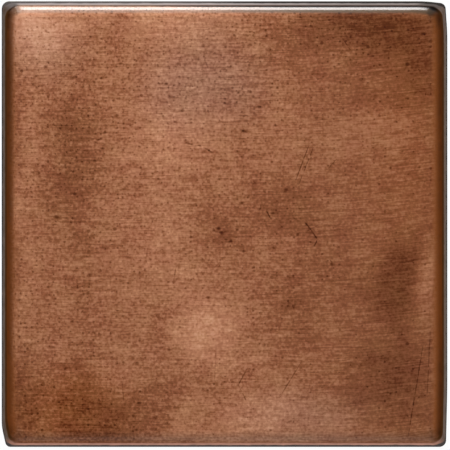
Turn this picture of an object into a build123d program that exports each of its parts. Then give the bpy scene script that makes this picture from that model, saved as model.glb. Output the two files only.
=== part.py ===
"""Square copper wall tile, pressed from one piece of sheet.

The flat face runs over a crowned shoulder and a tight bend into four short sides that lean out to the rim.
The back stays open, so the tile is a shallow pan that beds in adhesive on the wall.
The tile lies on its cut rim, face up: +Z leaves the face, +Y is up on the wall,
and the origin is at the middle of the rim's plane.
All sizes are in millimetres.
"""

import os
from math import cos, hypot, radians, sin, tan

from build123d import *

# The tile as a whole, measured over its rim
tile_width = 101.6
tile_height = 101.6
tile_depth = 6.35
sheet_thickness = 0.7

# Section of the edge: how far the sides lean from upright, and the crowned shoulder between side and face
side_lean = 10.0
shoulder_width = 1.25
shoulder_inner_radius = 3.1
bend_inner_radius = 0.3

# Corners in plan, worked by hand and so unequal: tight at the cut rim, rounder at the shoulder
upper_left_rim_radius = 1.7
upper_left_shoulder_radius = 3.2
lower_left_rim_radius = 0.9
lower_left_shoulder_radius = 1.8
lower_right_rim_radius = 1.5
lower_right_shoulder_radius = 2.6
upper_right_rim_radius = 1.1
upper_right_shoulder_radius = 2.4
face_corner_radius = 2.4

# Where the sheet was gathered, a side draws in before it reaches the corner
lower_left_draw_in = 1.05
lower_left_draw_length = 4.6
lower_right_draw_in = 0.3
lower_right_draw_length = 13.0
upper_right_draw_in = 0.45
upper_right_draw_length = 6.6
top_right_draw_in = 0.5
top_right_draw_length = 4.6

# Share of a drawn-in run that the arc at its start takes up
draw_blend_share = 0.3

# Horizontal thickness of a leaning side, and half of the angle inside the bend from side to face
rim_width = sheet_thickness / cos(radians(side_lean))
half_bend = radians(90 + side_lean) / 2

# A shoulder one sheet further in is narrower by this much
shoulder_narrowing = sheet_thickness * (1 / sin(half_bend) - 1) / cos(half_bend)


def draw_start_radius(draw_in, draw_length):
    """Radius of the gentle arc where a straight side starts to draw in."""
    run = hypot(draw_in, draw_length)
    half_turn = draw_in / (draw_length + run)
    return draw_blend_share * run / half_turn


# The corner radii of the three levels, anticlockwise from the upper left
rim_radii = [upper_left_rim_radius, lower_left_rim_radius, lower_right_rim_radius, upper_right_rim_radius]
shoulder_radii = [
    upper_left_shoulder_radius,
    lower_left_shoulder_radius,
    lower_right_shoulder_radius,
    upper_right_shoulder_radius,
]
face_radii = [face_corner_radius] * 4


def outline_corners(inset, radii):
    """Corners of the plan outline and the radius at each, anticlockwise from the upper left."""
    left, right = inset - tile_width / 2, tile_width / 2 - inset
    bottom, top = inset - tile_height / 2, tile_height / 2 - inset
    upper_left, lower_left, lower_right, upper_right = radii
    lower_left_start = draw_start_radius(lower_left_draw_in, lower_left_draw_length)
    lower_right_start = draw_start_radius(lower_right_draw_in, lower_right_draw_length)
    upper_right_start = draw_start_radius(upper_right_draw_in, upper_right_draw_length)
    top_right_start = draw_start_radius(top_right_draw_in, top_right_draw_length)
    return [
        ((left, top), upper_left),
        ((left, bottom + lower_left_draw_length), lower_left_start),
        ((left + lower_left_draw_in, bottom), lower_left),
        ((right - lower_right_draw_in, bottom), lower_right),
        ((right, bottom + lower_right_draw_length), lower_right_start),
        ((right, top - upper_right_draw_length), upper_right_start),
        ((right - upper_right_draw_in, top - top_right_draw_in), upper_right),
        ((right - top_right_draw_length, top), top_right_start),
    ]


def pressed_form(rim_inset, depth, shoulder, shoulder_radius, bend_radius):
    """Solid under one skin of the sheet: leaning sides, a bend, a crowned shoulder and the flat face."""
    lean_run = tan(radians(side_lean))
    shoulder_level = depth - shoulder * cos(radians(side_lean))
    shoulder_inset = rim_inset + shoulder_level * lean_run
    face_inset = rim_inset + depth * lean_run + shoulder
    sections = [
        (0, rim_inset, rim_radii),
        (shoulder_level, shoulder_inset, shoulder_radii),
        (depth, face_inset, face_radii),
    ]
    with BuildPart() as form:
        for level, inset, radii in sections:
            corners = outline_corners(inset, [radius - rim_inset for radius in radii])
            with BuildSketch(Plane.XY.offset(level)):
                with BuildLine():
                    FilletPolyline(
                        *[point for point, radius in corners],
                        radius=[radius for point, radius in corners],
                        close=True,
                    )
                make_face()
        loft(ruled=True)

        shoulder_loop = form.edges().group_by(Axis.Z)[2]
        fillet(shoulder_loop, radius=bend_radius)
        flat_face = form.faces().sort_by(Axis.Z)[-1]
        fillet(flat_face.edges(), radius=shoulder_radius)
    return form.part


outer_form = pressed_form(
    rim_inset=0,
    depth=tile_depth,
    shoulder=shoulder_width,
    shoulder_radius=shoulder_inner_radius + sheet_thickness,
    bend_radius=bend_inner_radius + sheet_thickness,
)
inner_form = pressed_form(
    rim_inset=rim_width,
    depth=tile_depth - sheet_thickness,
    shoulder=shoulder_width - shoulder_narrowing,
    shoulder_radius=shoulder_inner_radius,
    bend_radius=bend_inner_radius,
)

# The pan is what lies between the two skins of the sheet
with BuildPart() as copper_tile:
    add(outer_form)
    add(inner_form, mode=Mode.SUBTRACT)

copper_tile.part.label = "copper_tile"

os.makedirs("parts", exist_ok=True)
export_step(copper_tile.part, "parts/copper_tile.step")
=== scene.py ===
"""Aged copper wall tile under plain studio light, seen from straight above.

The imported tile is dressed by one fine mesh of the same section, in brushed and lacquered copper.
Lengths are written in millimetres times MM, and patterns on the metal in millimetres from the tile's middle.
"""

import math
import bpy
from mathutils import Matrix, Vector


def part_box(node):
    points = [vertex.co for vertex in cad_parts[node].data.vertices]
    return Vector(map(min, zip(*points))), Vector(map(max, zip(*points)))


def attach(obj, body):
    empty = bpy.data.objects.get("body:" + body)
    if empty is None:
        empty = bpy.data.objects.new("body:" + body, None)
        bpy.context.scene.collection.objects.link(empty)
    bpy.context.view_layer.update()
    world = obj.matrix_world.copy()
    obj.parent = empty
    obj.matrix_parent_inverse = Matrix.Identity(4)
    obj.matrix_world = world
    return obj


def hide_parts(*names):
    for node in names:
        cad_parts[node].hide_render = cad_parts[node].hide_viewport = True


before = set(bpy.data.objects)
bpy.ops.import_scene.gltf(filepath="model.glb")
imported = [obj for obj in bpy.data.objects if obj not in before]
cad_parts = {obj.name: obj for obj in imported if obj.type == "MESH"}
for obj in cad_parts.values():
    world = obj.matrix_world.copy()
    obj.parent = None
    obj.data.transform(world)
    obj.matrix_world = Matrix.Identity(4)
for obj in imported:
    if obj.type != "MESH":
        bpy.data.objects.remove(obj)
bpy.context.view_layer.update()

from types import SimpleNamespace

import bpy
from mathutils import Vector, noise

MM = 0.001

# Section of the pressed sheet, as in the part's source
TILE_LOW, TILE_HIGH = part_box("copper_tile")
TILE_WIDTH = TILE_HIGH.x - TILE_LOW.x
TILE_HEIGHT = TILE_HIGH.y - TILE_LOW.y
TILE_DEPTH = TILE_HIGH.z - TILE_LOW.z
SHEET = 0.7 * MM
SIDE_LEAN = math.radians(10)
SHOULDER_WIDTH = 1.25 * MM
SHOULDER_INNER_RADIUS = 3.1 * MM
BEND_INNER_RADIUS = 0.3 * MM
FACE_CORNER_RADIUS = 2.4 * MM
CUT_EDGE_RADIUS = 0.1 * MM
CUT_EDGE_TURN = 0.3

# Corners anticlockwise from the lower left: signs of x and y, plan radius at the rim and at the shoulder
CORNERS = [
    (-1, -1, 0.9 * MM, 1.8 * MM),
    (1, -1, 1.5 * MM, 2.6 * MM),
    (1, 1, 1.1 * MM, 2.4 * MM),
    (-1, 1, 1.7 * MM, 3.2 * MM),
]

# Where a side draws in on its way to a corner: the corner's signs of x and y, how far in, over what length
UPRIGHT_DRAW_INS = [
    (-1, -1, 1.05 * MM, 4.6 * MM),
    (1, -1, 0.3 * MM, 13.0 * MM),
    (1, 1, 0.45 * MM, 6.6 * MM),
]
LEVEL_DRAW_INS = [(1, 1, 0.5 * MM, 4.6 * MM)]
DRAW_BLEND_SHARE = 0.3
DRAW_FADE_START = 5.0 * MM
DRAW_FADE_LENGTH = 18.0 * MM

# The face isn't dead flat: it dips by up to this much, in waves of about this length
FACE_DIP = 0.05 * MM
FACE_WAVE = 24.0 * MM
SMALL_WAVE = 0.4 * FACE_WAVE
MIDDLE_DIP, BROAD_DIP, SMALL_DIP = 0.5, 0.55, 0.12
BROAD_WAVE_START = Vector((3.7, 1.3, 0.5))
SMALL_WAVE_START = Vector((9.1, 4.2, 2.5))

# Mesh density
SIDE_CELLS = 150
CORNER_CELLS = 10
SHOULDER_STEPS = 12
BEND_STEPS = 7
WALL_STEPS = 7
INNER_STEPS = 5


# The tile's mesh

def skin_rows(rim_inset, depth, shoulder, shoulder_radius, bend_radius, steps):
    """Rows of one skin from the rim up to the flat: inset from the outline, level and corner radii."""
    shoulder_steps, bend_steps, wall_steps = steps
    lean_run = math.tan(SIDE_LEAN)
    facet_tilt = (math.pi / 2 - SIDE_LEAN) / 2
    shoulder_level = depth - shoulder * math.cos(SIDE_LEAN)
    shoulder_inset = rim_inset + shoulder_level * lean_run
    face_inset = rim_inset + depth * lean_run + shoulder
    flat_inset = face_inset + shoulder_radius * math.tan(facet_tilt / 2)

    bend_reach = bend_radius * math.tan(facet_tilt / 2)
    bend_inset = shoulder_inset + bend_reach * math.cos(facet_tilt) + bend_radius * math.sin(facet_tilt)
    bend_level = shoulder_level + bend_reach * math.sin(facet_tilt) - bend_radius * math.cos(facet_tilt)
    wall_top = bend_level + bend_radius * math.cos(math.pi / 2 - SIDE_LEAN)

    section = []
    for step in range(wall_steps):
        level = CUT_EDGE_RADIUS + (wall_top - CUT_EDGE_RADIUS) * step / wall_steps
        section.append((rim_inset + level * lean_run, level))
    for step in range(bend_steps + 1):
        tilt = math.pi / 2 - SIDE_LEAN - (math.pi / 2 - SIDE_LEAN - facet_tilt) * step / bend_steps
        section.append((bend_inset - bend_radius * math.sin(tilt), bend_level + bend_radius * math.cos(tilt)))
    for step in range(shoulder_steps + 1):
        tilt = facet_tilt * (1 - step / shoulder_steps)
        inset = flat_inset - shoulder_radius * math.sin(tilt)
        section.append((inset, depth - shoulder_radius * (1 - math.cos(tilt))))

    rows = []
    for inset, level in section:
        radii = []
        for *signs, at_rim, at_shoulder in CORNERS:
            if inset < shoulder_inset:
                radius = at_rim + (at_shoulder - at_rim) * min(1, level / shoulder_level)
            elif inset < face_inset:
                share = (inset - shoulder_inset) / (face_inset - shoulder_inset)
                radius = at_shoulder + (FACE_CORNER_RADIUS - at_shoulder) * share
            else:
                radius = FACE_CORNER_RADIUS - (inset - face_inset)
            radii.append(radius - rim_inset)
        rows.append((inset, level, radii))
    return rows


def rim_rows(rim_width):
    """Rows under the cut rim, from the outer skin to the inner one, with the sharp edges just taken off."""
    soft = CUT_EDGE_RADIUS
    turned = CUT_EDGE_TURN * soft
    section = [
        (turned, turned),
        (soft, 0),
        (rim_width / 2, 0),
        (rim_width - soft, 0),
        (rim_width - turned, turned),
    ]
    return [(inset, level, [corner[2] - inset for corner in CORNERS]) for inset, level in section]


def ring_points(inset, radii):
    """Plan points of one row, anticlockwise from the lower left corner."""
    half_width = TILE_WIDTH / 2 - inset
    half_height = TILE_HEIGHT / 2 - inset
    arcs = []
    for corner, radius in enumerate(radii):
        centre_x = CORNERS[corner][0] * (half_width - radius)
        centre_y = CORNERS[corner][1] * (half_height - radius)
        arc = []
        for cell in range(CORNER_CELLS + 1):
            angle = math.pi + math.pi / 2 * (corner + cell / CORNER_CELLS)
            arc.append((centre_x + radius * math.cos(angle), centre_y + radius * math.sin(angle)))
        arcs.append(arc)
    points = []
    for corner, arc in enumerate(arcs):
        points += arc
        (start_x, start_y), (end_x, end_y) = arc[-1], arcs[(corner + 1) % 4][0]
        for cell in range(1, SIDE_CELLS):
            share = cell / SIDE_CELLS
            points.append((start_x + (end_x - start_x) * share, start_y + (end_y - start_y) * share))
    return points


def smooth_step(value):
    """A soft step from 0 to 1 as the value goes from 0 to 1."""
    value = min(1, max(0, value))
    return value * value * (3 - 2 * value)


def draw_shift(along, half, draw, length):
    """How far in a side stands at a place along it, with the corner half a side from the middle."""
    run = along - (half - length)
    blend = DRAW_BLEND_SHARE * length
    if run > blend:
        return draw * run / length
    if run > -blend:
        return draw / length * (run + blend) ** 2 / (4 * blend)
    return 0


def draw_share(depth_in):
    """Share of a side's draw-in that is left at a distance in from it."""
    return 1 - smooth_step((depth_in - DRAW_FADE_START) / DRAW_FADE_LENGTH)


def drawn_in(x, y, inset):
    """The plan point where the gathered corners put a point of a plain rounded square with this inset."""
    half_width, half_height = TILE_WIDTH / 2, TILE_HEIGHT / 2
    moved_x, moved_y = x, y
    for sign_x, sign_y, draw, length in UPRIGHT_DRAW_INS:
        shift = draw_shift(sign_y * y, half_height - inset, draw, length)
        moved_x -= sign_x * shift * draw_share(half_width - sign_x * x)
    for sign_x, sign_y, draw, length in LEVEL_DRAW_INS:
        shift = draw_shift(sign_x * x, half_width - inset, draw, length)
        moved_y -= sign_y * shift * draw_share(half_height - sign_y * y)
    return moved_x, moved_y


def dip(x, y):
    """How far the hand-levelled face lies below its highest plane, from 0 to 1."""
    broad = noise.noise(Vector((x, y, 0)) / FACE_WAVE + BROAD_WAVE_START)
    small = noise.noise(Vector((x, y, 0)) / SMALL_WAVE + SMALL_WAVE_START)
    return min(1, max(0, MIDDLE_DIP + BROAD_DIP * broad + SMALL_DIP * small))


def place(x, y, level, inset):
    """Where a point of the plain rounded square with this inset comes to lie on the hand-worked tile."""
    moved_x, moved_y = drawn_in(x, y, inset)
    share = smooth_step(level / (TILE_DEPTH - SHEET))
    return moved_x, moved_y, level - FACE_DIP * dip(x, y) * share


# Stains of the patina, with a few patches of painted light and shade among them: middle, radii across and up,
# and how much lighter (plus) or darker (minus)
STAINS_AND_PAINTED_LIGHT = [
    # painted light: the lighter patch at the upper left
    ((-44, 47), (11, 9), 0.31),
    ((-12, 46.7), (16, 6), 0.15),
    ((-33, 20), (7, 11), -0.1),
    ((-34.8, 9), (7, 14), -0.11),
    ((-46, 8), (4, 30), 0.05),
    # painted shade: the narrow dark strip along the left edge
    ((-48.5, 0), (2.3, 45), -0.13),
    ((-13.7, 20.5), (11, 10), 0.13),
    ((-34, 24.5), (11.5, 4), -0.07),
    ((-33.8, -14), (3.2, 14), -0.07),
    ((-32, -27), (3.5, 4), -0.06),
    ((-43, 35.5), (4, 3.5), 0.06),
    ((-32, 46), (5, 3.5), 0.07),
    ((-12, 36), (7, 4), 0.07),
    ((-15, -1), (9, 14), 0.06),
    ((-7.6, -13), (5, 4), 0.05),
    ((-0.7, -1.2), (6, 6), -0.11),
    ((14, 4.5), (9, 7.5), -0.11),
    ((-4, -23.5), (8, 8), 0.21),
    ((31.9, 20.5), (8, 8), 0.07),
    ((14.8, 20.5), (8, 8), 0.05),
    # painted shade: the darker patch at the upper right
    ((35, 46.3), (15, 9), -0.24),
    ((17, 42), (9, 6), -0.1),
    ((31, 31), (8, 6), -0.06),
    ((41, -14), (7.5, 11), -0.2),
    ((45, 34), (7, 11), -0.13),
    ((36, -36), (11, 11), -0.17),
    ((32.5, -36.5), (5, 4), 0.06),
    ((15.9, -18.3), (8, 8), -0.08),
    ((22, -5), (6, 8), -0.06),
    ((30, -12), (5, 8), -0.05),
    ((41, 22), (6, 5), 0.06),
    ((6.2, -31.5), (6, 5), 0.06),
    ((-46.8, -37.7), (5, 10), -0.2),
    ((-29, -44), (16, 12), -0.21),
    ((8, -43.4), (11, 7), 0.14),
    ((-25, -35.7), (6, 5), 0.13),
    ((46.8, -13.8), (2.7, 8.5), 0.21),
    ((24, -45), (7.5, 5), 0.08),
    ((0, -49.5), (60, 2.5), 0.1),
]

# Where the patina is pinker (minus) or more orange (plus), written in the same way
TINTS = [
    ((-5, 33), (14, 12), -0.09),
    ((-42, 40), (9, 9), -0.05),
    ((44, 20), (14, 40), 0.03),
    ((-36, -42), (14, 10), 0.05),
    ((18, -44), (14, 7), -0.06),
]

STAIN_REACH = 1.5
STAIN_SWAY = 3.5 * MM
STAIN_SWAY_LENGTH = 15.0 * MM
SWAY_STARTS = [Vector((5.3, 2.9, 0.7)), Vector((1.6, 8.4, 3.2))]


def stain_tone(stains, x, y):
    """What a list of stains adds up to at a point; their outlines wander a little."""
    spot = Vector((x, y, 0)) / STAIN_SWAY_LENGTH
    sway_x, sway_y = [STAIN_SWAY * noise.noise(spot + start) for start in SWAY_STARTS]
    x, y = x + sway_x, y + sway_y
    tone = 0
    for (middle_x, middle_y), (across, up), strength in stains:
        reach = math.hypot((x / MM - middle_x) / across, (y / MM - middle_y) / up)
        tone += strength * (1 - smooth_step(reach / STAIN_REACH))
    return tone


class Skin:
    """The mesh as it is gathered: vertices, faces, and the values that the material reads at each vertex."""

    def __init__(self):
        self.vertices = []
        self.faces = []
        self.layers = {"edge_inset": [], "back_side": [], "stain_and_painted_light": [], "tint": []}

    def add_vertex(self, x, y, level, row_inset, inset, back):
        """A vertex of a row, with its own inset from the outline; returns its number."""
        self.vertices.append(place(x, y, level, row_inset))
        self.layers["edge_inset"].append(inset / MM)
        self.layers["back_side"].append(back)
        # the stains, with some patches of painted light and shade among them
        self.layers["stain_and_painted_light"].append(stain_tone(STAINS_AND_PAINTED_LIGHT, x, y))
        self.layers["tint"].append(stain_tone(TINTS, x, y))
        return len(self.vertices) - 1

    def add_ring(self, row, back):
        inset, level, radii = row
        return [self.add_vertex(x, y, level, inset, inset, back) for x, y in ring_points(inset, radii)]

    def add_grid(self, row, back):
        """A square grid of vertices that ends where the corner arcs of a row begin; returns its columns."""
        inset, level, radii = row
        half_width = TILE_WIDTH / 2 - inset - radii[0]
        half_height = TILE_HEIGHT / 2 - inset - radii[0]
        grid = []
        for column in range(SIDE_CELLS + 1):
            x = half_width * (2 * column / SIDE_CELLS - 1)
            line = []
            for cell in range(SIDE_CELLS + 1):
                y = half_height * (2 * cell / SIDE_CELLS - 1)
                nearest = min(TILE_WIDTH / 2 - abs(x), TILE_HEIGHT / 2 - abs(y))
                line.append(self.add_vertex(x, y, level, inset, nearest, back))
            grid.append(line)
        return grid

    def join_rings(self, upper, lower):
        count = len(upper)
        for index in range(count):
            after = (index + 1) % count
            self.faces.append((upper[index], lower[index], lower[after], upper[after]))

    def close_flat(self, row, ring, back):
        """Fills the flat inside a ring with a grid; the ring's corner arcs fan into the grid's corners."""
        grid = self.add_grid(row, back)
        last = SIDE_CELLS
        sides = [
            [grid[cell][0] for cell in range(last)],
            [grid[last][cell] for cell in range(last)],
            [grid[last - cell][last] for cell in range(last)],
            [grid[0][last - cell] for cell in range(last)],
        ]
        border = []
        for side in sides:
            border += [side[0]] * CORNER_CELLS + side
        new_faces = []
        for index in range(len(ring)):
            after = (index + 1) % len(ring)
            if border[index] == border[after]:
                new_faces.append((border[index], ring[index], ring[after]))
            else:
                new_faces.append((border[index], ring[index], ring[after], border[after]))
        for left, right in zip(grid, grid[1:]):
            for cell in range(last):
                new_faces.append((left[cell], right[cell], right[cell + 1], left[cell + 1]))
        if back:
            new_faces = [face[::-1] for face in new_faces]
        self.faces.extend(new_faces)


def tile_mesh():
    """One closed skin: outer face, shoulder, side, rim, inner side and the back of the face."""
    rim_width = SHEET / math.cos(SIDE_LEAN)
    half_bend = (math.pi / 2 + SIDE_LEAN) / 2
    narrowing = SHEET * (1 / math.sin(half_bend) - 1) / math.cos(half_bend)
    outer = skin_rows(
        0, TILE_DEPTH, SHOULDER_WIDTH, SHOULDER_INNER_RADIUS + SHEET, BEND_INNER_RADIUS + SHEET,
        (SHOULDER_STEPS, BEND_STEPS, WALL_STEPS),
    )
    inner = skin_rows(
        rim_width, TILE_DEPTH - SHEET, SHOULDER_WIDTH - narrowing, SHOULDER_INNER_RADIUS, BEND_INNER_RADIUS,
        (INNER_STEPS, INNER_STEPS, INNER_STEPS),
    )
    rows = outer[::-1] + rim_rows(rim_width) + inner

    # The patina ends in the middle of the cut rim
    back_start = len(outer) + 2
    skin = Skin()
    rings = [skin.add_ring(row, 1.0 if number >= back_start else 0.0) for number, row in enumerate(rows)]
    for upper, lower in zip(rings, rings[1:]):
        skin.join_rings(upper, lower)
    skin.close_flat(rows[0], rings[0], 0.0)
    skin.close_flat(rows[-1], rings[-1], 1.0)

    mesh = bpy.data.meshes.new("copper_tile_skin")
    mesh.from_pydata(skin.vertices, [], skin.faces)
    mesh.polygons.foreach_set("use_smooth", [True] * len(mesh.polygons))
    for name, values in skin.layers.items():
        attribute = mesh.attributes.new(name, "FLOAT", "POINT")
        attribute.data.foreach_set("value", values)
    mesh.validate()
    mesh.update()
    return mesh


tile = bpy.data.objects.new("copper_tile_skin", tile_mesh())
bpy.context.scene.collection.objects.link(tile)
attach(tile, "root")
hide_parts("copper_tile")


# Materials

class Nodes:
    """Adds nodes to one tree. A value is a number, a tuple or another node's output."""

    def __init__(self, tree):
        self.tree = tree

    def put(self, socket, value):
        if isinstance(value, bpy.types.NodeSocket):
            self.tree.links.new(value, socket)
        else:
            socket.default_value = value

    def add(self, kind, *values, **settings):
        """A node whose inputs take the values in order; None leaves an input as it is."""
        node = self.tree.nodes.new(kind)
        for name, setting in settings.items():
            setattr(node, name, setting)
        for socket, value in zip(node.inputs, values):
            if value is not None:
                self.put(socket, value)
        return node

    def math(self, operation, *values):
        return self.add("ShaderNodeMath", *values, operation=operation).outputs[0]

    def total(self, *values):
        whole = values[0]
        for value in values[1:]:
            whole = self.math("ADD", whole, value)
        return whole

    def product(self, *values):
        whole = values[0]
        for value in values[1:]:
            whole = self.math("MULTIPLY", whole, value)
        return whole

    def rest(self, share):
        """What a share leaves of the whole."""
        return self.math("SUBTRACT", 1.0, share)

    def clamp(self, value, low=0.0, high=1.0):
        return self.add("ShaderNodeClamp", value, low, high).outputs[0]

    def vector(self, operation, *values):
        node = self.add("ShaderNodeVectorMath", *values, operation=operation)
        return node.outputs["Value" if operation in ("LENGTH", "DOT_PRODUCT") else "Vector"]

    def scaled(self, vector, factor):
        node = self.add("ShaderNodeVectorMath", vector, None, None, factor, operation="SCALE")
        return node.outputs["Vector"]

    def smooth(self, value, low, high, at_low=0.0, at_high=1.0):
        """A soft step from one level to another as the value goes from low to high."""
        settings = {"interpolation_type": "SMOOTHSTEP"}
        return self.add("ShaderNodeMapRange", value, low, high, at_low, at_high, **settings).outputs[0]

    def fade(self, value, full, gone):
        """All of it up to one value and nothing from another on, with a soft step between."""
        return self.smooth(value, full, gone, 1.0, 0.0)

    def noise(self, place, strength=1.0, detail=2.0, roughness=0.5):
        """Soft noise about zero, with features about one unit of place across."""
        field = self.add("ShaderNodeTexNoise", place, None, 1.0, detail, roughness).outputs["Fac"]
        return self.math("MULTIPLY_ADD", field, 2 * strength, -strength)

    def mixed(self, share, first, second):
        """One colour fading into another."""
        mix = self.add("ShaderNodeMix", data_type="RGBA")
        self.put(mix.inputs["Factor"], share)
        self.put(mix.inputs["A"], first)
        self.put(mix.inputs["B"], second)
        return mix.outputs["Result"]

    def split(self, vector):
        return self.add("ShaderNodeSeparateXYZ", vector).outputs

    def joined(self, x, y, z):
        return self.add("ShaderNodeCombineXYZ", x, y, z).outputs[0]

    def attribute(self, name):
        return self.add("ShaderNodeAttribute", attribute_name=name).outputs["Fac"]


def new_group(name, inputs):
    """A node group with one value as its output; returns its nodes, input sockets and output socket."""
    tree = bpy.data.node_groups.new(name, "ShaderNodeTree")
    for title, kind in inputs:
        tree.interface.new_socket(title, in_out="INPUT", socket_type=kind)
    tree.interface.new_socket("Value", in_out="OUTPUT", socket_type="NodeSocketFloat")
    nodes = Nodes(tree)
    entry = nodes.add("NodeGroupInput").outputs
    leave = nodes.add("NodeGroupOutput").inputs[0]
    return nodes, entry, leave


# How many radii a spot fades over, and its height by its width
SPOT_REACH = 1.5
SPOT_SQUASH = 0.6

# The share of a scratch that tapers at either end, and the share of its width that is left there
SCRATCH_TAPER = 0.25
SCRATCH_END_WIDTH = 0.4


def spot_group():
    """A soft oval spot: full in the middle, gone at its edge."""
    nodes, entry, leave = new_group("spot", [
        ("Place", "NodeSocketVector"), ("Middle", "NodeSocketVector"), ("Radii", "NodeSocketVector"),
    ])
    across = nodes.vector("DIVIDE", nodes.vector("SUBTRACT", entry["Place"], entry["Middle"]), entry["Radii"])
    nodes.put(leave, nodes.fade(nodes.vector("LENGTH", across), 0.0, SPOT_REACH))
    return nodes.tree


def scratch_group():
    """A straight scratch that thins out towards its two ends."""
    nodes, entry, leave = new_group("scratch", [
        ("Place", "NodeSocketVector"), ("Start", "NodeSocketVector"), ("End", "NodeSocketVector"),
        ("Width", "NodeSocketFloat"), ("Strength", "NodeSocketFloat"),
    ])
    run = nodes.vector("SUBTRACT", entry["End"], entry["Start"])
    offset = nodes.vector("SUBTRACT", entry["Place"], entry["Start"])
    run_square = nodes.vector("DOT_PRODUCT", run, run)
    along = nodes.clamp(nodes.math("DIVIDE", nodes.vector("DOT_PRODUCT", offset, run), run_square))
    gap = nodes.vector("LENGTH", nodes.vector("SUBTRACT", offset, nodes.scaled(run, along)))
    swelling = nodes.smooth(along, 0.0, SCRATCH_TAPER, SCRATCH_END_WIDTH, 1.0)
    thinning = nodes.smooth(along, 1 - SCRATCH_TAPER, 1.0, 1.0, SCRATCH_END_WIDTH)
    width = nodes.product(entry["Width"], nodes.product(swelling, thinning))
    mark = nodes.fade(nodes.math("DIVIDE", gap, width), 0.0, 1.0)
    nodes.put(leave, nodes.product(mark, entry["Strength"]))
    return nodes.tree


# Small dark spots: middle and radius along the brushing
SPOTS = [
    ((-38.2, 1.6), 0.7),
    ((45.4, 43.3), 0.5),
    ((-3.7, -16.7), 0.5),
    ((-12.6, -28.6), 0.5),
    ((-19.5, -40.7), 0.5),
    ((4.5, 21.2), 0.6),
    ((7.9, 26.7), 0.5),
    ((-23.6, 36.5), 0.5),
    ((-40.7, 35.8), 0.5),
    ((4.3, -6.2), 0.55),
    ((-1.3, -1.0), 0.6),
    ((-0.7, -2.0), 0.6),
    ((1.5, -3.9), 0.5),
    ((4.0, 4.8), 0.5),
    ((14.0, 7.8), 0.6),
    ((24.5, -9.1), 0.55),
    ((-13.2, 31.9), 0.5),
    ((-28.0, 33.2), 0.45),
    ((-27.1, 20.8), 0.45),
    ((-28.7, 19.2), 0.45),
    ((-27.7, 17.2), 0.45),
    ((-13.8, 16.8), 0.5),
    ((-22.8, 8.0), 0.5),
    ((-34.1, 6.9), 0.5),
]

# Scratches as runs of points, each with its width and depth
SCRATCHES = [
    ([(19.2, 17.9), (16.2, 10.0)], 0.22, 1.0),
    ([(20.2, 17.4), (16.9, 9.0)], 0.2, 0.8),
    ([(23.5, 12.5), (25.5, 14.8)], 0.2, 0.7),
    ([(9.5, 3.2), (10.5, 1.2)], 0.28, 1.2),
    ([(18.2, 0.5), (19.6, -1.2), (21.2, -3.6), (20.4, -5.0)], 0.26, 1.1),
    ([(18.6, -1.7), (21.3, -0.2)], 0.2, 0.7),
    ([(23.9, -8.0), (24.8, -9.2)], 0.2, 0.7),
    ([(-17.6, -6.4), (-17.9, -8.5)], 0.2, 0.7),
    ([(-11.0, -9.6), (-11.5, -12.6)], 0.2, 0.8),
    ([(5.2, -32.7), (3.15, -36.6), (5.2, -40.7)], 0.22, 0.8),
    ([(17.5, -31.3), (12.5, -39.5)], 0.2, 0.7),
    ([(26.9, 42.2), (28.9, 39.2)], 0.22, 0.8),
    ([(-31.6, 41.5), (-37.3, 33.5)], 0.2, 0.4),
    ([(-4.6, 37.6), (-3.7, 35.3)], 0.2, 0.7),
    ([(-8.6, 18.3), (-7.2, 18.1)], 0.26, 1.1),
    ([(-6.2, 18.0), (-5.3, 17.7)], 0.28, 1.1),
    ([(-4.7, 17.4), (-2.8, 16.3)], 0.24, 1.1),
    ([(-23.3, -35.9), (-22.9, -40.5)], 0.2, 0.6),
    ([(-1.9, -27.4), (-2.3, -36.6)], 0.2, 0.4),
    ([(46.8, -24.5), (46.1, -39.5)], 0.22, 0.6),
    ([(45.2, -27.4), (41.7, -48.7)], 0.22, 0.7),
]

# Copper from the darkest patina to the lightest rubbed metal
TONES = [
    (-0.25, (0.032, 0.0055, 0.0006)),
    (0.0, (0.085, 0.018, 0.002)),
    (0.25, (0.19, 0.057, 0.0145)),
    (0.5, (0.335, 0.132, 0.057)),
    (0.75, (0.47, 0.226, 0.121)),
    (1.0, (0.6, 0.335, 0.205)),
]
RAW_COPPER = (0.42, 0.2, 0.115, 1)
DULL_COPPER = (0.26, 0.11, 0.06, 1)
# painted shade: the crown's dark reflection along the left and right, warm where it meets the face
WARM_CROWN_SHADE = (0.45, 0.135, 0.029, 1)
CROWN_SHADE = (0.26, 0.065, 0.009, 1)
DEEP_CROWN_SHADE = (0.09, 0.025, 0.005, 1)
# painted shade: a dark top crown that holds down the metal's reflection beside the highlight
TOP_CROWN_SHADE = (0.06, 0.037, 0.019, 1)
DARK_SIDE = (0.1, 0.07, 0.055, 1)
PALE_SIDE = (0.24, 0.18, 0.15, 1)
# painted light: the top side paler and greyer, less so towards the right, and the bottom side pinker and
# paler
TOP_SIDE_LIGHT = (0.215, 0.193, 0.193, 1)
DIM_TOP_SIDE_LIGHT = (0.135, 0.121, 0.121, 1)
BOTTOM_SIDE_LIGHT = (0.54, 0.28, 0.21, 1)
# painted shade in the bend and along the foot of the side, paler in places
CREASE_SHADE = (0.1, 0.04, 0.012, 1)
TOP_CREASE_SHADE = (0.016, 0.012, 0.011, 1)
RIM_SHADE = (0.028, 0.024, 0.022, 1)
PALE_RIM_SHADE = (0.12, 0.105, 0.1, 1)

# Sizes of the patterns, in millimetres
BRUSH_LENGTH = 4.5
BRUSH_WIDTH = 0.36
BRUSH_SWEEP_START = 10.0
BRUSH_SWEEP = 0.0017
SPECKLE_SIZE = 0.6
MOTTLE_SIZE = 5.0
SIDE_MOTTLE_SIZE = 2.4
SMALL_PITS = {"cell": 1.3, "small": 0.2, "large": 0.36}
LARGE_PITS = {"cell": 5.2, "small": 0.3, "large": 0.6}
PIT_WALL = (0.4, 1.0)

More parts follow.
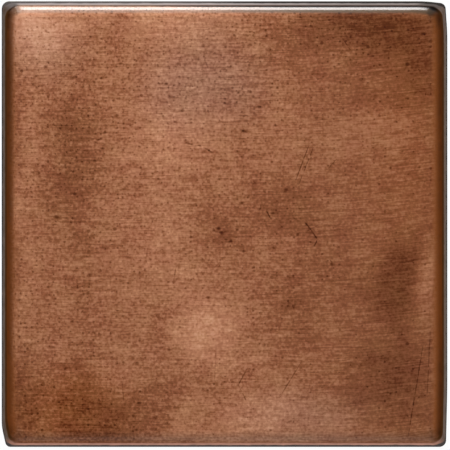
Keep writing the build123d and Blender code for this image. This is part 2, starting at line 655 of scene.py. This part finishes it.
# Share of the pits' cells that hold one: in the middle, what a millimetre up or right adds, least and most
PIT_SHARE = 0.3
PITS_UPWARDS, PITS_RIGHTWARDS = 0.004, -0.005
PIT_SHARE_LIMITS = (0.08, 0.6)

# Scratches fade out where a noise falls from the second of these values to the first
SCRATCH_SKIP = (-0.35, 0.0)

# How much each pattern moves the tone, and how high it stands in millimetres
BASE_TONE = 0.323
CROWN_TONE = 0.09
MOTTLE_TONE = 0.12
BRUSH_TONE, BRUSH_RELIEF = 0.23, 0.005
SPECKLE_RELIEF = 0.006
PIT_TONE, PIT_RELIEF = -0.17, -0.02
MARK_TONE, MARK_RELIEF = -0.31, -0.02
NEUTRAL_HUE, HUE_SWAY = 0.5, 0.008
BASE_SATURATION = 0.91

# Strengths of the looks along the edge, and the mottle over which the back goes from dull to raw copper
CROWN_MOTTLE = 0.5
THIN_SHARE = 0.45
# painted light on the top and bottom sides
TOP_LIGHT_SHARE = 0.8
BOTTOM_LIGHT_SHARE, BOTTOM_LIGHT_MOTTLE = 0.85, 0.4
# how ragged the painted shade in the bend and along the rim is
SHADE_FRAY = 0.16
TOP_CREASE_IN = -0.15
RAW_MOTTLE = (-0.5, 0.5)

# Looks that change along x: from and to which place in millimetres, and the level at either end
RIGHT_HALF = (-10.0, 10.0)
# painted shade: the face darker towards the right
RIGHT_SHADE_TONE = (-10.0, 50.0, 0.0, -0.075)
SPECKLE_TONE = (0.0, 40.0, 0.28, 0.196)
CROWN_WARMTH = (*RIGHT_HALF, 0.35, 0.7)
# painted shade on the top crown, stronger towards the right
TOP_SHADE_SPREAD = (-15.0, 20.0, 0.52, 0.92)
RIGHT_THINNING = (30.0, 45.0, 0.0, 0.5)
# the painted light on the top side fades towards the right
TOP_SIDE_DIMMING = (-15.0, 35.0)
TOP_CREASE_SHIFT = (-35.0, 25.0, 0.2, -0.26)
RIM_SPREAD = (-10.0, 20.0, 0.22, 0.25)

# Looks that change along y, or with the distance up or down from the middle, written in the same way
# the painted crown shade deepens upwards, towards the corners and low on the right
CROWN_DARK_UPWARDS = (-20.0, 35.0, 0.0, 0.5)
CROWN_DARK_CORNERS = (43.0, 48.0, 0.0, 0.4)
CROWN_DARK_LOW = (-33.0, -23.0, 0.5, 0.0)
# the painted rim shade is paler low down and at the upper left
PALE_RIM_LOW = (-30.0, 10.0, 0.5, 0.0)
PALE_RIM_HIGH = (20.0, 45.0, 0.0, 0.5)
BOTTOM_POOL = (-48.5, -46.5, 0.12, 0.0)
TOP_POOL = (47.3, 48.5, 0.0, 0.78)

# Where the sides' own looks begin, and half of the width in which they blend along a corner's diagonal
CROWN_PLACE = (46.5, 48.0)
BOTTOM_PLACE = (-49.6, -48.0)
CORNER_BLEND = 1.5

# Bands along the edge, in millimetres in from the outline
EDGE_BAND = (2.8, 4.3)
WARM_BAND = (2.2, 4.2)
CROWN_BAND = (1.4, 3.2)
# where the top crown's painted shade lies
TOP_SHADE_BAND = (2.3, 3.2)
SIDE_BAND = (0.8, 1.1)
# where shade is painted in the bend and along the rim
CREASE_START, CREASE_END = (0.8, 0.95), (1.15, 1.5)
RIM_BAND = (0.15, 0.38)
LACQUER_START = (1.0, 1.4)

# Gloss: roughness of the metal and what patterns add to it, dullness of the sides and of the rim under its
# painted shade, and lacquer
ROUGHNESS, MOTTLE_ROUGHNESS, SPECKLE_ROUGHNESS = 0.52, 0.05, 0.04
SIDE_DULLNESS, RIM_DULLNESS = 0.2, 0.8
LACQUER, LACQUER_ROUGHNESS = 0.12, 0.14
BRUSHED_GLOSS, BRUSHED_TURN = 0.9, 0.25
GLANCING_TINT = (0.4, 0.36, 0.33, 1)


def brush_lines(nodes, x, y, z):
    """Brush lines that run across the tile and sweep up towards the right."""
    past_start = nodes.math("MAXIMUM", nodes.math("SUBTRACT", x, BRUSH_SWEEP_START), 0.0)
    level = nodes.math("MULTIPLY_ADD", nodes.math("POWER", past_start, 2.0), -BRUSH_SWEEP, y)
    stretched = nodes.joined(
        nodes.math("DIVIDE", x, BRUSH_LENGTH),
        nodes.math("DIVIDE", level, BRUSH_WIDTH),
        nodes.math("DIVIDE", z, BRUSH_WIDTH),
    )
    return nodes.noise(stretched, roughness=0.6)


def spot_depth(nodes, place):
    group = spot_group()
    spots = []
    for (x, y), radius in SPOTS:
        radii = (radius, SPOT_SQUASH * radius, 1)
        spots.append(nodes.add("ShaderNodeGroup", place, (x, y, 0), radii, node_tree=group).outputs[0])
    return nodes.total(*spots)


def scratch_depth(nodes, place):
    group = scratch_group()
    marks = []
    for points, width, depth in SCRATCHES:
        for start, end in zip(points, points[1:]):
            ends = ((*start, 0), (*end, 0))
            mark = nodes.add("ShaderNodeGroup", place, *ends, width, depth, node_tree=group)
            marks.append(mark.outputs[0])
    return nodes.total(*marks)


def pit_depth(nodes, place, cell, small, large, share):
    """Scattered round pits, in a share of the cells of a random pattern."""
    cells = nodes.add("ShaderNodeTexVoronoi", nodes.scaled(place, 1 / cell), voronoi_dimensions="2D")
    cells.inputs["Scale"].default_value = 1.0
    chance = nodes.add("ShaderNodeSeparateColor", cells.outputs["Color"]).outputs
    radius = nodes.math("MULTIPLY_ADD", chance["Green"], (large - small) / cell, small / cell)
    hollow = nodes.fade(nodes.math("DIVIDE", cells.outputs["Distance"], radius), *PIT_WALL)
    return nodes.product(hollow, nodes.math("LESS_THAN", chance["Red"], share))


def survey(nodes):
    """What the looks share: where a point lies on the tile, and the patterns and parts of the edge there."""
    place = nodes.scaled(nodes.add("ShaderNodeTexCoord").outputs["Object"], 1 / MM)
    x, y, z = nodes.split(place)
    flat_place = nodes.joined(x, y, 0.0)
    here = SimpleNamespace(x=x, y=y, up=nodes.math("ABSOLUTE", y))
    here.inset = nodes.attribute("edge_inset")
    here.back = nodes.attribute("back_side")

    here.brush = brush_lines(nodes, x, y, z)
    here.speckle = nodes.noise(nodes.scaled(place, 1 / SPECKLE_SIZE), detail=1.0)
    here.mottle = nodes.noise(nodes.scaled(place, 1 / MOTTLE_SIZE), detail=3.0, roughness=0.55)
    here.side_mottle = nodes.noise(nodes.scaled(place, 1 / SIDE_MOTTLE_SIZE), 1.2, detail=3.0, roughness=0.6)

    # More pits towards the upper left
    share = nodes.total(nodes.product(y, PITS_UPWARDS), nodes.product(x, PITS_RIGHTWARDS), PIT_SHARE)
    share = nodes.clamp(share, *PIT_SHARE_LIMITS)
    small_pits = pit_depth(nodes, flat_place, share=share, **SMALL_PITS)
    large_pits = pit_depth(nodes, flat_place, share=share, **LARGE_PITS)
    here.pits = nodes.math("MAXIMUM", small_pits, large_pits)

    broken = nodes.smooth(nodes.noise(place), *SCRATCH_SKIP)
    scratches = nodes.product(scratch_depth(nodes, flat_place), broken)
    here.marks = nodes.math("MAXIMUM", scratches, spot_depth(nodes, flat_place))

    # The four sides' own looks meet along the diagonals of the corners
    across = nodes.math("ABSOLUTE", x)
    here.level_side = nodes.smooth(nodes.math("SUBTRACT", here.up, across), -CORNER_BLEND, CORNER_BLEND)
    here.beside = nodes.product(nodes.smooth(across, *CROWN_PLACE), nodes.rest(here.level_side))
    here.above = nodes.product(nodes.smooth(y, *CROWN_PLACE), here.level_side)
    here.below = nodes.product(nodes.fade(y, *BOTTOM_PLACE), here.level_side)

    # The side, the bend above it and the rim, where shade is painted
    here.side = nodes.fade(here.inset, *SIDE_BAND)
    here.bend = nodes.math("MULTIPLY_ADD", here.above, nodes.smooth(x, *TOP_CREASE_SHIFT), here.inset)
    here.fray = nodes.product(here.side_mottle, SHADE_FRAY)
    spread = nodes.product(nodes.math("MAXIMUM", here.above, here.below), nodes.smooth(x, *RIM_SPREAD))
    rim_inset = nodes.math("SUBTRACT", here.inset, spread)
    here.rim = nodes.fade(nodes.total(rim_inset, here.fray), *RIM_BAND)
    return here


def copper_colour(nodes, tone):
    darkest, lightest = TONES[0][0], TONES[-1][0]
    share = nodes.add("ShaderNodeMapRange", tone, darkest, lightest).outputs[0]
    ramp = nodes.add("ShaderNodeValToRGB", share)
    elements = ramp.color_ramp.elements
    for number, (tone_here, colour) in enumerate(TONES):
        position = (tone_here - darkest) / (lightest - darkest)
        stop = elements[number] if number < 2 else elements.new(position)
        stop.position = position
        stop.color = (*colour, 1)
    return ramp.outputs["Color"]


def face_colour(nodes, here):
    """Copper whose tone follows the stains, the brushing and the marks, with painted light and shade: lighter
    at the upper left, darker towards the right and at the upper right, and a little lighter along the left
    and right crowns.
    """
    edge = nodes.fade(here.inset, *EDGE_BAND)
    tone = nodes.total(
        BASE_TONE,
        # painted shade: darker towards the right
        nodes.smooth(here.x, *RIGHT_SHADE_TONE),
        nodes.attribute("stain_and_painted_light"),
        # painted: the tone of the crown band at the left and right is raised a little, setting how deep its
        # painted shade looks
        nodes.product(edge, here.beside, CROWN_TONE),
        nodes.product(here.mottle, MOTTLE_TONE),
        nodes.product(here.brush, BRUSH_TONE),
        nodes.product(here.speckle, nodes.smooth(here.x, *SPECKLE_TONE)),
        nodes.product(here.pits, PIT_TONE),
        nodes.product(here.marks, MARK_TONE),
    )
    hue = nodes.add("ShaderNodeHueSaturation")
    nodes.put(hue.inputs["Hue"], nodes.math("MULTIPLY_ADD", here.mottle, HUE_SWAY, NEUTRAL_HUE))
    nodes.put(hue.inputs["Saturation"], nodes.total(nodes.attribute("tint"), BASE_SATURATION))
    nodes.put(hue.inputs["Color"], copper_colour(nodes, tone))
    return hue.outputs[0]


def crown_colour(nodes, here, colour):
    """The crown: painted shade of its dark reflection at the left and right, redder brown, deeper upwards and
    at corners, and painted shade along the top beside the highlight.
    """
    right_half = nodes.smooth(here.x, *RIGHT_HALF)
    darker = nodes.total(
        nodes.smooth(here.y, *CROWN_DARK_UPWARDS),
        nodes.smooth(here.up, *CROWN_DARK_CORNERS),
        nodes.product(right_half, nodes.smooth(here.y, *CROWN_DARK_LOW)),
        nodes.product(here.side_mottle, CROWN_MOTTLE),
    )
    # painted shade on the left and right crowns, warm where it meets the face
    crown_shade = nodes.mixed(nodes.clamp(darker), CROWN_SHADE, DEEP_CROWN_SHADE)
    warm = nodes.product(nodes.fade(here.inset, *WARM_BAND), nodes.smooth(here.x, *CROWN_WARMTH), here.beside)
    colour = nodes.mixed(warm, colour, WARM_CROWN_SHADE)
    colour = nodes.mixed(nodes.product(nodes.fade(here.inset, *CROWN_BAND), here.beside), colour, crown_shade)
    # painted shade along the top crown beside the highlight
    top_shade_band = nodes.fade(here.inset, *TOP_SHADE_BAND)
    top_shade = nodes.product(top_shade_band, nodes.smooth(here.x, *TOP_SHADE_SPREAD), here.above)
    return nodes.mixed(top_shade, colour, TOP_CROWN_SHADE)


def side_colour(nodes, here, colour):
    """The sides: a mottled patina, with painted light making it greyer along the top and pinker and paler
    along the bottom.
    """
    thin = nodes.total(here.side_mottle, THIN_SHARE, nodes.smooth(here.x, *RIGHT_THINNING))
    patina = nodes.mixed(nodes.clamp(thin), DARK_SIDE, PALE_SIDE)
    # painted light on the top side
    top_light = nodes.mixed(nodes.smooth(here.x, *TOP_SIDE_DIMMING), TOP_SIDE_LIGHT, DIM_TOP_SIDE_LIGHT)
    patina = nodes.mixed(nodes.product(here.above, TOP_LIGHT_SHARE), patina, top_light)
    # painted light on the bottom side, made uneven by the mottle
    uneven = nodes.math("MULTIPLY_ADD", here.side_mottle, BOTTOM_LIGHT_MOTTLE, BOTTOM_LIGHT_SHARE)
    patina = nodes.mixed(nodes.clamp(nodes.product(here.below, uneven)), patina, BOTTOM_SIDE_LIGHT)
    return nodes.mixed(here.side, colour, patina)


def edge_shade_colour(nodes, here, colour):
    """Painted shade in the bend, at the top mostly towards the right, and along the foot of the side, paler
    low down and at the upper left.
    """
    crease_start = nodes.math("MULTIPLY_ADD", here.above, TOP_CREASE_IN, here.inset)
    crease_shade = nodes.product(
        nodes.smooth(crease_start, *CREASE_START),
        nodes.fade(nodes.total(here.bend, here.fray), *CREASE_END),
        nodes.rest(here.below),
    )
    # painted shade in the bend
    colour = nodes.mixed(crease_shade, colour, nodes.mixed(here.above, CREASE_SHADE, TOP_CREASE_SHADE))
    # painted shade along the rim, paler low down and at the upper left
    upper_left = nodes.product(nodes.fade(here.x, *RIGHT_HALF), nodes.smooth(here.y, *PALE_RIM_HIGH))
    paler_rim = nodes.math("MAXIMUM", nodes.smooth(here.y, *PALE_RIM_LOW), upper_left)
    return nodes.mixed(here.rim, colour, nodes.mixed(paler_rim, RIM_SHADE, PALE_RIM_SHADE))


def lacquer_weight(nodes, here):
    """Thin lacquer that has pooled along the top edge and a little along the bottom one."""
    top_pool = nodes.product(nodes.smooth(here.y, *TOP_POOL), here.level_side)
    bottom_pool = nodes.product(nodes.smooth(here.y, *BOTTOM_POOL), here.level_side)
    lacquer = nodes.total(LACQUER, top_pool, bottom_pool)
    return nodes.product(lacquer, nodes.smooth(here.bend, *LACQUER_START))


def fine_relief(nodes, here):
    bump = nodes.add("ShaderNodeBump")
    bump.inputs["Distance"].default_value = MM
    nodes.put(bump.inputs["Height"], nodes.total(
        nodes.product(here.brush, BRUSH_RELIEF),
        nodes.product(here.speckle, SPECKLE_RELIEF),
        nodes.product(here.pits, PIT_RELIEF),
        nodes.product(here.marks, MARK_RELIEF),
    ))
    return bump.outputs[0]


def copper_material():
    """Aged copper: lacquered on the face and the shoulders, bare and dull at the back."""
    material = bpy.data.materials.new("aged_copper")
    material.use_nodes = True
    nodes = Nodes(material.node_tree)
    here = survey(nodes)
    colour = face_colour(nodes, here)
    colour = crown_colour(nodes, here, colour)
    colour = side_colour(nodes, here, colour)
    colour = edge_shade_colour(nodes, here, colour)
    raw = nodes.mixed(nodes.smooth(here.mottle, *RAW_MOTTLE), DULL_COPPER, RAW_COPPER)

    front = nodes.rest(here.back)
    rim_dullness = nodes.product(here.rim, RIM_DULLNESS)
    dull = nodes.product(front, nodes.math("MULTIPLY_ADD", here.side, SIDE_DULLNESS, rim_dullness))
    tangent = nodes.add("ShaderNodeTangent", direction_type="UV_MAP", uv_map="brushing")
    looks = {
        "Base Color": nodes.mixed(here.back, colour, raw),
        "Metallic": nodes.rest(dull),
        "Roughness": nodes.total(
            ROUGHNESS,
            nodes.product(here.mottle, MOTTLE_ROUGHNESS),
            nodes.product(here.speckle, SPECKLE_ROUGHNESS),
        ),
        "Normal": fine_relief(nodes, here),
        "Tangent": tangent.outputs[0],
        "Specular IOR Level": 0.0,
        "Specular Tint": GLANCING_TINT,
        "Anisotropic": BRUSHED_GLOSS,
        "Anisotropic Rotation": BRUSHED_TURN,
        "Coat Weight": nodes.product(lacquer_weight(nodes, here), front),
        "Coat Roughness": LACQUER_ROUGHNESS,
    }
    shader = material.node_tree.nodes["Principled BSDF"]
    for name, value in looks.items():
        nodes.put(shader.inputs[name], value)
    return material


def map_brushing(mesh):
    """A map straight down on the tile, which tells the metal's gloss which way it is brushed."""
    layer = mesh.uv_layers.new(name="brushing")
    for loop in mesh.loops:
        corner = mesh.vertices[loop.vertex_index].co
        layer.data[loop.index].uv = (corner.x / TILE_WIDTH + 0.5, corner.y / TILE_HEIGHT + 0.5)


map_brushing(tile.data)
tile.data.materials.append(copper_material())


# Stage: floor, light and camera, in metres

FLOOR_COLOUR = (0.88, 0.88, 0.88, 1)
FLOOR_ROUGHNESS = 0.9
FLOOR_LIFT = 0.97
FLOOR_HALF = 4.0


def make_floor():
    """A pale floor, lifted part of the way to white where it is seen or mirrored, so that shadows stay."""
    mesh = bpy.data.meshes.new("floor")
    corners = [(sign_x * FLOOR_HALF, sign_y * FLOOR_HALF, 0) for sign_x, sign_y, *radii in CORNERS]
    mesh.from_pydata(corners, [], [(0, 1, 2, 3)])
    floor = bpy.data.objects.new("floor", mesh)
    bpy.context.scene.collection.objects.link(floor)
    material = bpy.data.materials.new("pale_floor")
    material.use_nodes = True
    nodes = Nodes(material.node_tree)
    shader = material.node_tree.nodes["Principled BSDF"]
    shader.inputs["Base Color"].default_value = FLOOR_COLOUR
    shader.inputs["Roughness"].default_value = FLOOR_ROUGHNESS
    shader.inputs["Specular IOR Level"].default_value = 0.0
    rays = nodes.add("ShaderNodeLightPath").outputs
    seen = nodes.total(rays["Is Camera Ray"], rays["Is Glossy Ray"], rays["Is Transmission Ray"])
    glow = nodes.add("ShaderNodeEmission", (1, 1, 1, 1), 1.0)
    blend = nodes.add("ShaderNodeMixShader", nodes.product(seen, FLOOR_LIFT))
    nodes.put(blend.inputs[1], shader.outputs[0])
    nodes.put(blend.inputs[2], glow.outputs[0])
    nodes.put(material.node_tree.nodes["Material Output"].inputs["Surface"], blend.outputs[0])
    mesh.materials.append(material)


# The dome's light: low down, what it gains between two heights, and the dim round of the camera overhead
DOME_LOW = 0.45
DOME_RISE = 0.2
DOME_HEIGHTS = (0.1, 0.9)
CAMERA_DIM = 0.3
CAMERA_ROUND = (math.cos(math.radians(10)), math.cos(math.radians(6)))


def make_world():
    """A soft dome, a little brighter with height, with a dim round straight overhead."""
    world = bpy.data.worlds.new("studio")
    bpy.context.scene.world = world
    world.use_nodes = True
    nodes = Nodes(world.node_tree)
    z = nodes.split(nodes.add("ShaderNodeTexCoord").outputs["Generated"])["Z"]
    dome = nodes.smooth(z, *DOME_HEIGHTS, DOME_LOW, DOME_LOW + DOME_RISE)
    overhead = nodes.smooth(z, *CAMERA_ROUND, 1.0, CAMERA_DIM)
    background = world.node_tree.nodes["Background"]
    background.inputs["Color"].default_value = (1, 1, 1, 1)
    nodes.put(background.inputs["Strength"], nodes.product(dome, overhead))


def area_light(name, azimuth, elevation, distance, width, height, radiance):
    """A soft panel that faces the tile; the angles are in degrees, and azimuth 0 is towards +Y."""
    azimuth, elevation = math.radians(azimuth), math.radians(elevation)
    light = bpy.data.lights.new(name, "AREA")
    light.shape = "RECTANGLE"
    light.size = width
    light.size_y = height
    light.energy = radiance * math.pi * width * height
    panel = bpy.data.objects.new(name, light)
    towards = Vector((
        math.sin(azimuth) * math.cos(elevation), math.cos(azimuth) * math.cos(elevation), math.sin(elevation),
    ))
    panel.location = towards * distance
    panel.rotation_euler = towards.to_track_quat("Z", "Y").to_euler()
    panel.visible_camera = False
    bpy.context.scene.collection.objects.link(panel)


make_floor()
make_world()
area_light("strip", azimuth=2, elevation=24.5, distance=0.8, width=0.225, height=0.285, radiance=18)
area_light("glow", azimuth=-13, elevation=30, distance=0.8, width=0.3, height=0.8, radiance=3.5)
area_light("fill", azimuth=180, elevation=30, distance=0.9, width=0.8, height=0.5, radiance=1.4)

# Camera straight above, with the tile where the photograph has it
IMAGE_SIDE = 450
TILE_SIDE_PIXELS = 445.75
TILE_CENTRE_PIXELS = (224.5, 224.1)
CAMERA_HEIGHT = 3.0

pixel = TILE_WIDTH / TILE_SIDE_PIXELS
camera_data = bpy.data.cameras.new("camera")
camera_data.lens = camera_data.sensor_width * CAMERA_HEIGHT / (IMAGE_SIDE * pixel)
camera = bpy.data.objects.new("camera", camera_data)
camera.location = (
    (IMAGE_SIDE / 2 - TILE_CENTRE_PIXELS[0]) * pixel,
    (TILE_CENTRE_PIXELS[1] - IMAGE_SIDE / 2) * pixel,
    CAMERA_HEIGHT,
)
bpy.context.scene.collection.objects.link(camera)
bpy.context.scene.camera = camera
bpy.context.scene.view_settings.view_transform = "Standard"
